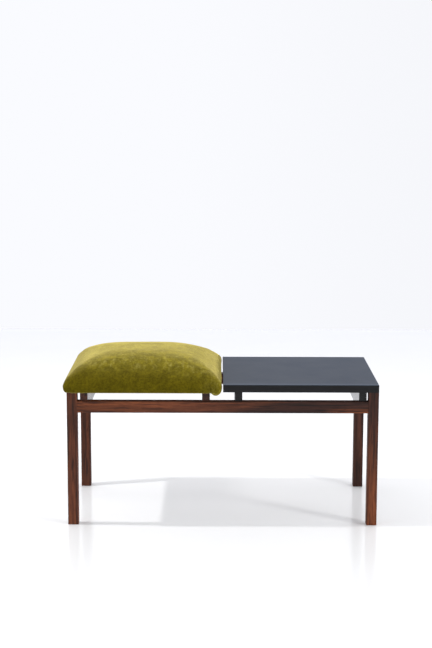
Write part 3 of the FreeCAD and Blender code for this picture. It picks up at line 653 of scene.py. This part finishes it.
class BENCH_OT_frame(bpy.types.Operator):
    """Rosewood on the legs, the rails and the seat's bearers, black stain on the table's"""

    bl_idname = "bench.frame"
    bl_label = "Frame"

    def execute(self, context):
        colours = context.scene.bench_finish
        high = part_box("leg_front_left")[1].z
        # Each stick: its grain, where it is dark and where red, and its own piece of the figure.
        # Places beyond its ends leave it between the two colours
        sticks = {
            "leg_front_left": ("z", high * 3, -high * 2, (0.3, 0.1, 0.02)),
            "leg_front_right": ("z", high * 0.9, 0.05, (0.1, 0.0, 0.21)),
            "leg_back_left": ("z", high * 2.5, -high * 3.2, (0.0, 0.2, 0.1)),
            "leg_back_right": ("z", high * 1.2, -high * 6, (0.2, 0.0, 0.3)),
            "back_rail": ("x", 0.4, -0.4, (0.4, 0.0, 0.1)),
        }
        for name, (grain, dark_end, red_end, shift) in sticks.items():
            dress(name, rosewood(f"oiled_rosewood_{name}", colours, grain, dark_end, red_end, shift))
        # The front rail's figure leans 4.5 m along for each metre up, and is set by where it meets the top
        slant = 4.5
        dark_at_top, red_at_top = 0.2, -0.35
        dress("front_rail", rosewood(
            "oiled_rosewood_front_rail", colours, "x", dark_end=dark_at_top - slant * RAIL_HIGH.z,
            red_end=red_at_top - slant * RAIL_HIGH.z, shift=(0.0, 0.1, 0.0), slant=slant,
        ))
        rosewood_bearer = rosewood(
            "lacquered_rosewood_bearer", colours, "y", dark_end=0.1, red_end=-2.0,
            shift=(0.1, 0.2, 0.0), lacquered=True,
        )
        black_bearer = stained_wood("black_stained_bearer", colours, "y", roughness=0.18, reflection=0.3)
        for side in ("left", "right"):
            dress(f"seat_bearer_{side}", rosewood_bearer)
            dress(f"table_bearer_{side}", black_bearer)
        return {"FINISHED"}


class BENCH_OT_fasteners(bpy.types.Operator):
    """Beech dowels, zinc-plated screws and galvanised staples"""

    bl_idname = "bench.fasteners"
    bl_label = "Dowels, screws and staples"

    def execute(self, context):
        dress("rail_dowels", pale_wood("raw_beech", "x", "c9a57c", "a98259"))
        zinc = plated_steel("zinc_plated_steel", "b9b9b4", roughness=0.3)
        for name in ("bearer_screws", "seat_fixing_screws", "table_fixing_screws"):
            dress(name, zinc)
        wire = plated_steel("galvanised_wire", "a8aaac", roughness=0.35)
        dress("cover_staples", wire)
        dress("dust_cover_staples", wire)
        return {"FINISHED"}


class BENCH_OT_tabletop(bpy.types.Operator):
    """Black laminate over a blockboard core, with black edge strips and a brown backing sheet"""

    bl_idname = "bench.tabletop"
    bl_label = "Tabletop"

    def execute(self, context):
        colours = context.scene.bench_finish
        dress("tabletop_laminate", black_laminate(colours))
        dress("tabletop_core", pale_wood("softwood_blockboard", "x", "c8a877", "a98454"))
        dress("tabletop_backing_sheet", backing_sheet())
        along = stained_wood("black_edge_strip_along", colours, "x")
        across = stained_wood("black_edge_strip_across", colours, "y")
        for side, material in (("front", along), ("back", along), ("left", across), ("right", across)):
            dress(f"tabletop_lipping_{side}", material)
        return {"FINISHED"}


class BENCH_OT_velvet_seat(bpy.types.Operator):
    """The seat's velvet, pushed out by its padding, folded at the corners and turned under"""

    bl_idname = "bench.velvet_seat"
    bl_label = "Velvet seat"

    def execute(self, context):
        settings = context.scene.bench_seat
        seat = self.plain_form(settings)
        wadding = soft_filling("white_cotton_wadding", "ecebe6", "d8d6cf", spacing=5.6)
        foam = soft_filling("yellow_foam_block", "d9c58f", "c3ab70", spacing=2.0)
        # The wadding goes down the board's sides, almost to its underside
        wadding_bottom = BOARD_LOW.z + 0.0004
        self.pad(seat, "cotton_wadding", "wadding", wadding, settings.wadding_depth, wadding_bottom)
        self.pad(seat, "foam_block", "foam", foam, settings.foam_depth, BOARD_HIGH.z)
        self.draw_in(seat, settings.give)
        places = [v.co.copy() for v in seat.data.vertices]
        rest = list(zip(places, outward_directions(seat.data)))
        self.blow_up(context, seat, settings)
        self.hold_back(seat, rest, settings.give)
        self.round_off(seat)
        self.shape_by_hand(seat, settings)
        self.open_underside(seat, settings)
        bpy.ops.object.shade_smooth()
        seat.data.materials.clear()
        seat.data.materials.append(velvet(context.scene.bench_finish, settings.edge_hang))
        ride_and_slot(seat, "seat_cover")
        return {"FINISHED"}

    def plain_form(self, settings):
        """The padding's outer form, closed and evenly meshed."""
        seat = copy_of(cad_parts["seat_cover"].data, "velvet_seat")
        only(seat)
        edit(bpy.ops.mesh.select_all, action="SELECT")
        edit(bpy.ops.mesh.convex_hull)
        apply_modifier(seat, "REMESH", mode="VOXEL", voxel_size=settings.voxel)
        return seat

    def pad(self, seat, name, slot, material, depth, bottom):
        """A filling of the seat's own form, at a depth under the velvet, with a flat bottom."""
        layer = copy_of(seat.data, name)
        for v, normal in zip(layer.data.vertices, outward_directions(layer.data)):
            v.co -= normal * depth
            v.co.z = max(v.co.z, bottom)
        only(layer)
        bpy.ops.object.shade_smooth()
        layer.data.materials.clear()
        layer.data.materials.append(material)
        ride_and_slot(layer, f"seat_{slot}")

    def draw_in(self, seat, depth):
        """Start from a slightly smaller shape, because the velvet swells."""
        for v, normal in zip(seat.data.vertices, outward_directions(seat.data)):
            v.co -= normal * depth * free_share(v.co.z)

    def blow_up(self, context, seat, settings):
        """Let the padding push the velvet out, with its turned edge held by the board."""
        held = seat.vertex_groups.new(name="held_by_board")
        held_height = 0.002
        for v in seat.data.vertices:
            if v.co.z < BOARD_LOW.z + held_height:
                held.add([v.index], 1.0, "REPLACE")
        only(seat)
        bpy.ops.object.modifier_add(type="CLOTH")
        cloth = seat.modifiers[-1]
        cloth.settings.vertex_group_mass = held.name
        cloth.settings.use_pressure = True
        cloth.settings.uniform_pressure_force = settings.pressure
        cloth.settings.effector_weights.gravity = 0.0
        cloth.settings.quality = 5
        for number in range(1, settings.frames + 1):
            context.scene.frame_set(number)
        bpy.ops.object.modifier_apply(modifier=cloth.name)
        context.scene.frame_set(1)

    def hold_back(self, seat, rest, give):
        """The padding fills the velvet out to its form, and lets it bulge or sink by a fraction."""
        most_slide, least_swell, most_swell = 0.25 * give, 0.85 * give, 1.2 * give
        for v, (start, outwards) in zip(seat.data.vertices, rest):
            move = v.co - start
            swell = move.dot(outwards)
            slide = move - outwards * swell
            if slide.length > most_slide:
                slide *= most_slide / slide.length
            share = free_share(start.z)
            swell = min(most_swell, max(least_swell, swell)) * share
            v.co = start + slide * share + outwards * swell

    def round_off(self, seat):
        """Soften the padded part, then halve the mesh's spacing."""
        padded_part = seat.vertex_groups.new(name="padded_part")
        fully_soft = BOARD_HIGH.z + 0.015
        for v in seat.data.vertices:
            if v.co.z > BOARD_HIGH.z:
                share = smooth_step(BOARD_HIGH.z, fully_soft, v.co.z)
                padded_part.add([v.index], share, "REPLACE")
        apply_modifier(seat, "SMOOTH", factor=0.5, iterations=6, vertex_group=padded_part.name)
        apply_modifier(seat, "SUBSURF", levels=1, render_levels=1)

    def shape_by_hand(self, seat, settings):
        """Uneven stuffing, a rolled lower edge, and at each corner a fold with a lip that hangs."""
        lumps = scale_for(110.0)
        lump_slice = 3.1
        crown_height, edge_height, roll_width = 0.04, 0.03, 0.004
        hang_begins, hang_full = -0.003, 0.002
        for v in seat.data.vertices:
            x, y, z = v.co
            top = smooth_step(BOARD_HIGH.z, BOARD_HIGH.z + crown_height, z)
            lump = noise.noise(Vector((x * lumps, y * lumps, lump_slice)))
            v.co.z += top * settings.undulation * lump
            v.co.z -= top * settings.right_sink * smooth_step(BOARD_MIDDLE.x, BOARD_HIGH.x, x)
            low = 1.0 - smooth_step(SEAT_LOW.z, SEAT_LOW.z + edge_height, z)
            v.co.z -= settings.edge_hang * low * smooth_step(hang_begins, hang_full, -inside_board(x, y))
            behind = smooth_step(0.0, roll_width, y - BOARD_HIGH.y)
            in_front = smooth_step(0.0, roll_width, BOARD_LOW.y - y)
            v.co.y += settings.edge_roll * low * (behind - in_front)
        droop, crease = settings.corner_droop, settings.crease_depth
        # Each corner: its side and end, how far its crease lies from the side's face, and its share
        # of the droop and of the crease's depth
        for side, end, fold, lip_droop, depth in (
            (1, -1, 0.032, droop, crease),
            (-1, -1, 0.020, droop * 0.15, crease * 0.5),
            (1, 1, 0.026, droop * 0.3, crease * 0.7),
            (-1, 1, 0.024, droop * 0.35, crease * 0.7),
        ):
            self.fold_corner(seat, side, end, fold, lip_droop, depth)
        self.rest_on_frame(seat)

    def fold_corner(self, seat, side, end, fold, droop, crease_depth):
        """One corner. side is 1 at the right and -1 at the left, end 1 at the back and -1 in front."""
        face_x = SEAT_HIGH.x if side > 0 else SEAT_LOW.x
        face_y = SEAT_HIGH.y if end > 0 else SEAT_LOW.y
        reach, crease_reach = 0.07, 0.03
        crease_width, crease_height, crease_lean = 0.0045, 0.06, 0.012
        lip, side_bulge = 0.018, 0.0015
        for v in seat.data.vertices:
            from_side = (face_x - v.co.x) * side
            from_end = (face_y - v.co.y) * end
            up = (v.co.z - SEAT_LOW.z) / crease_height
            if up > 1.0 or from_side > reach or from_end > reach:
                continue
            fading = 1.0 - smooth_step(0.0, 1.0, up)
            # The crease leans away from the corner as it rises
            off_crease = (from_side - fold - crease_lean * up) / crease_width
            cut = crease_depth * fading * math.exp(-off_crease * off_crease)
            if from_end < crease_reach:
                v.co.y -= end * cut
            # The folded velvet beyond the crease stands out a little and hangs as a lip. A power
            # under 1 makes the lip fuller than half a wave
            beyond = 1.0 - smooth_step(fold * 0.55, fold, from_side)
            near_end = 1.0 - smooth_step(lip * 0.4, lip, from_end)
            rounded = math.sin(math.pi * min(1.0, max(0.0, from_side / fold))) ** 0.6
            low = 1.0 - smooth_step(0.0, 0.6, up)
            v.co.z -= droop * low * near_end * rounded
            v.co.y += end * 0.5 * crease_depth * fading * beyond * near_end
            near_side = 1.0 - smooth_step(lip * 0.4, lip, from_side)
            near_fold = 1.0 - smooth_step(fold * 0.55, fold * 1.3, from_end)
            v.co.x += side * side_bulge * fading * near_side * near_fold
        seat.data.update()

    def rest_on_frame(self, seat):
        """Flatten the velvet under the board, and lift its edge to the tops of the left legs."""
        rim, turned_height = 0.004, 0.003
        for v in seat.data.vertices:
            if inside_board(v.co.x, v.co.y) > rim and v.co.z < BOARD_LOW.z + turned_height:
                v.co.z = SEAT_LOW.z
            elif any(low.x < v.co.x < high.x and low.y < v.co.y < high.y for low, high in LEFT_LEGS):
                v.co.z = max(v.co.z, SEAT_LOW.z)

    def open_underside(self, seat, settings):
        """Cut out what isn't turned under the board, and give the velvet its thickness."""
        turned = settings.turned_under
        low = BOARD_LOW + Vector((turned, turned, 0.0))
        high = BOARD_HIGH - Vector((turned, turned, 0.0))
        only(seat)
        cuts = (
            ((low.x, 0, 0), (1, 0, 0)), ((high.x, 0, 0), (1, 0, 0)),
            ((0, low.y, 0), (0, 1, 0)), ((0, high.y, 0), (0, 1, 0)),
        )
        for place, normal in cuts:
            self.select_underside(seat)
            edit(bpy.ops.mesh.bisect, plane_co=place, plane_no=normal)
        for face in seat.data.polygons:
            middle = face.center
            face.select = (
                low.x < middle.x < high.x and low.y < middle.y < high.y and middle.z < BOARD_LOW.z
            )
        edit(bpy.ops.mesh.delete, type="FACE")
        apply_modifier(seat, "SOLIDIFY", thickness=settings.velvet_thickness, offset=-1.0)

    def select_underside(self, seat):
        """Select the flat faces under the board."""
        flat = 0.9
        only(seat)
        edit(bpy.ops.mesh.select_all, action="DESELECT")
        for face in seat.data.polygons:
            face.select = face.center.z < BOARD_LOW.z and abs(face.normal.z) > flat


class BENCH_OT_seat_board(bpy.types.Operator):
    """Birch plywood under the padding"""

    bl_idname = "bench.seat_board"
    bl_label = "Seat board"

    def execute(self, context):
        dress("seat_board", pale_wood("birch_plywood", "x", "d0b083", "b48f5f", ply=0.0015))
        return {"FINISHED"}


class BENCH_OT_dust_cover(bpy.types.Operator):
    """Black cloth stretched under the seat, which hangs a little between its staples"""

    bl_idname = "bench.dust_cover"
    bl_label = "Dust cover"

    def execute(self, context):
        settings = context.scene.bench_seat
        middle = (DUST_LOW + DUST_HIGH) / 2
        size = DUST_HIGH - DUST_LOW
        stapled_edge, free_from_edge, free_from_wood = 0.012, 0.12, 0.06
        bpy.ops.object.select_all(action="DESELECT")
        bpy.ops.mesh.primitive_grid_add(x_subdivisions=48, y_subdivisions=48, size=1, location=(0, 0, 0))
        cloth = context.object
        cloth.name = "dust_cover_cloth"
        bearers = [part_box(f"seat_bearer_{side}") for side in ("left", "right")]
        for v in cloth.data.vertices:
            x = middle.x + v.co.x * size.x
            y = middle.y + v.co.y * size.y
            edge = min(x - DUST_LOW.x, DUST_HIGH.x - x, y - DUST_LOW.y, DUST_HIGH.y - y)
            from_wood = min(max(low.x - x, x - high.x, 0.0) for low, high in bearers)
            sag = settings.dust_sag * smooth_step(stapled_edge, free_from_edge, edge)
            sag *= smooth_step(0.0, free_from_wood, from_wood)
            v.co = (x, y, DUST_LOW.z - sag)
        apply_modifier(cloth, "SOLIDIFY", thickness=size.z, offset=1.0)
        bpy.ops.object.shade_smooth_by_angle(angle=math.radians(40))
        cloth.data.materials.append(black_cloth())
        ride_and_slot(cloth, "seat_dust_cover")
        return {"FINISHED"}


class BENCH_OT_stage(bpy.types.Operator):
    """White floor and wall, two lamps, light from all round, and the camera"""

    bl_idname = "bench.stage"
    bl_label = "Stage"

    def execute(self, context):
        settings = context.scene.bench_stage
        self.floor(settings)
        self.wall(settings)
        self.lamps(context, settings)
        self.world(context, settings)
        self.camera(context, settings)
        return {"FINISHED"}

    def floor(self, settings):
        reach = settings.floor_reach
        floor = self.plane("studio_floor", [
            (-reach, -reach, 0), (reach, -reach, 0), (-reach, settings.wall, 0), (reach, settings.wall, 0),
        ])
        material, tree, place = blank_material("white_painted_floor")
        # Scuffs, a third of a metre apart
        scuffs = add_node(tree, "ShaderNodeTexNoise", None, {
            "Vector": place, "Scale": scale_for(330.0), "Detail": 4.0,
        }).outputs["Fac"]
        shine = add_node(tree, "ShaderNodeMapRange", None, {
            "Value": scuffs, "To Min": 0.1, "To Max": 0.2,
        }).outputs["Result"]
        # Painted shade: towards the wall the floor is painted a little greyer, where less of the lamps'
        # light falls
        painted_shade_from = 0.5
        split = add_node(tree, "ShaderNodeSeparateXYZ", None, {"Vector": place})
        far = add_node(tree, "ShaderNodeMapRange", SMOOTH, {
            "Value": split.outputs["Y"], "From Min": painted_shade_from, "From Max": settings.wall,
        }).outputs["Result"]
        white = add_node(tree, "ShaderNodeValToRGB", None, {"Fac": far}, [
            (0.0, linear("f6f6f6")), (1.0, linear("e0e1e6")),
        ]).outputs["Color"]
        finish_material(tree, {"Base Color": white, "Roughness": shine, "IOR": 1.4})
        floor.data.materials.append(material)

    def wall(self, settings):
        """The wall lights the room. The eye sees the world's white in its place, and gloss sees white."""
        reach, depth, top = settings.floor_reach, settings.wall, settings.wall_height
        wall = self.plane("studio_wall", [
            (-reach, depth, 0), (reach, depth, 0), (-reach, depth, top), (reach, depth, top),
        ])
        wall.visible_camera = False
        material, tree, _ = blank_material("white_backdrop")
        seen = add_node(tree, "ShaderNodeEmission", None, {"Color": linear("fafbff"), "Strength": 1.0})
        lighting = add_node(tree, "ShaderNodeEmission", None, {
            "Color": linear("fafbff"), "Strength": settings.wall_light,
        })
        both = self.light_and_look(tree, lighting, seen)
        add_node(tree, "ShaderNodeOutputMaterial", None, {"Surface": both})
        wall.data.materials.append(material)

    def plane(self, name, corners):
        """A plane of the stage, with its place in its mesh."""
        bpy.ops.object.select_all(action="DESELECT")
        bpy.ops.mesh.primitive_plane_add(size=1, location=(0, 0, 0))
        plane = bpy.context.object
        plane.name = name
        for v, corner in zip(plane.data.vertices, corners):
            v.co = corner
        return plane

    def light_and_look(self, tree, light, look):
        """One shader lights the room. The camera and what a gloss reflects see the other."""
        ray = add_node(tree, "ShaderNodeLightPath")
        seen = add_node(tree, "ShaderNodeMath", {"operation": "MAXIMUM"}, {
            0: ray.outputs["Is Camera Ray"], 1: ray.outputs["Is Glossy Ray"],
        }).outputs[0]
        return add_node(tree, "ShaderNodeMixShader", None, {
            "Fac": seen, 1: light.outputs[0], 2: look.outputs[0],
        }).outputs[0]

    def lamps(self, context, settings):
        """Two lamp heads, left and right, high up beside the bench."""
        aim_height = 0.3
        target = Vector((0.0, 0.0, aim_height))
        for name, place, size, power in (
            ("left_lamp", Vector((-1.867, -0.172, 2.42)), 0.1, settings.left_power),
            ("right_lamp", Vector((2.6, -1.7, 2.3)), 0.5, settings.right_power),
        ):
            bpy.ops.object.light_add(type="AREA", location=place)
            lamp = context.object
            lamp.name = name
            lamp.data.shape = "DISK"
            lamp.data.size = size
            lamp.data.energy = power
            lamp.rotation_euler = (target - place).to_track_quat("-Z", "Y").to_euler()

    def world(self, context, settings):
        """Light from all round, less from in front and overhead, more from the right."""
        world = bpy.data.worlds.new("studio_light")
        context.scene.world = world
        world.use_nodes = True
        tree = world.node_tree
        tree.nodes.clear()
        towards = add_node(tree, "ShaderNodeTexCoord")
        split = add_node(tree, "ShaderNodeSeparateXYZ", None, {"Vector": towards.outputs["Generated"]})
        around = add_node(tree, "ShaderNodeMapRange", SMOOTH, {
            "Value": split.outputs["Y"], "From Min": -0.9, "From Max": 0.1,
            "To Min": settings.front_light, "To Max": settings.side_light,
        })
        across = add_node(tree, "ShaderNodeMapRange", None, {
            "Value": split.outputs["X"], "From Min": -1.0, "From Max": 1.0, "To Min": 0.7, "To Max": 1.4,
        })
        low_light = add_node(tree, "ShaderNodeMath", {"operation": "MULTIPLY"}, {
            0: around.outputs["Result"], 1: across.outputs["Result"],
        })
        level = add_node(tree, "ShaderNodeMapRange", SMOOTH, {
            "Value": split.outputs["Z"], "From Min": 0.3, "From Max": 0.8,
            "To Min": low_light.outputs[0], "To Max": settings.top_light,
        })
        light = add_node(tree, "ShaderNodeBackground", None, {
            "Color": linear("fbfcff"), "Strength": level.outputs["Result"],
        })
        # What is seen of it is plain white, painted a little darker to the right as painted shade
        painted_shade_right = add_node(tree, "ShaderNodeMapRange", SMOOTH, {
            "Value": split.outputs["X"], "From Min": -0.05, "From Max": 0.17,
        }).outputs["Result"]
        white = add_node(tree, "ShaderNodeMix", MIX, {
            FACTOR: painted_shade_right, FIRST: linear("fafbff"), SECOND: linear("f6f7fb"),
        }).outputs[RESULT]
        plain = add_node(tree, "ShaderNodeBackground", None, {"Color": white, "Strength": 1.0})
        both = self.light_and_look(tree, light, plain)
        add_node(tree, "ShaderNodeOutputWorld", None, {"Surface": both})

    def camera(self, context, settings):
        aim = Vector((
            math.sin(settings.yaw) * math.cos(settings.pitch),
            math.cos(settings.yaw) * math.cos(settings.pitch),
            -math.sin(settings.pitch),
        ))
        turn = aim.to_track_quat("-Z", "Y") @ Quaternion((0, 0, 1), settings.roll)
        bpy.ops.object.camera_add(location=settings.eye, rotation=turn.to_euler())
        camera = context.object
        camera.data.lens = settings.lens
        camera.data.sensor_width = 36.0
        camera.data.clip_end = 50.0
        context.scene.camera = camera
        context.scene.view_settings.view_transform = "Standard"


class BENCH_PT_panel(bpy.types.Panel):
    """The bench's pieces, each with a button that makes it"""

    bl_idname = "BENCH_PT_panel"
    bl_label = "Telephone bench"
    bl_space_type = "VIEW_3D"
    bl_region_type = "UI"
    bl_category = "Bench"

    def draw(self, context):
        for operator in OPERATORS:
            self.layout.operator(operator.bl_idname)
        for group in (context.scene.bench_finish, context.scene.bench_seat, context.scene.bench_stage):
            for name in group.bl_rna.properties.keys():
                if name not in ("rna_type", "name"):
                    self.layout.prop(group, name)


OPERATORS = (
    BENCH_OT_stage,
    BENCH_OT_frame,
    BENCH_OT_fasteners,
    BENCH_OT_tabletop,
    BENCH_OT_velvet_seat,
    BENCH_OT_seat_board,
    BENCH_OT_dust_cover,
)
CLASSES = (FinishSettings, SeatSettings, StageSettings, *OPERATORS, BENCH_PT_panel)


def register():
    for cls in CLASSES:
        bpy.utils.register_class(cls)
    bpy.types.Scene.bench_finish = PointerProperty(type=FinishSettings)
    bpy.types.Scene.bench_seat = PointerProperty(type=SeatSettings)
    bpy.types.Scene.bench_stage = PointerProperty(type=StageSettings)


def unregister():
    del bpy.types.Scene.bench_stage
    del bpy.types.Scene.bench_seat
    del bpy.types.Scene.bench_finish
    for cls in reversed(CLASSES):
        bpy.utils.unregister_class(cls)


def main():
    register()
    bpy.ops.bench.stage()
    bpy.ops.bench.frame()
    bpy.ops.bench.fasteners()
    bpy.ops.bench.tabletop()
    bpy.ops.bench.velvet_seat()
    bpy.ops.bench.seat_board()
    bpy.ops.bench.dust_cover()


if __name__ == "__main__":
    main()
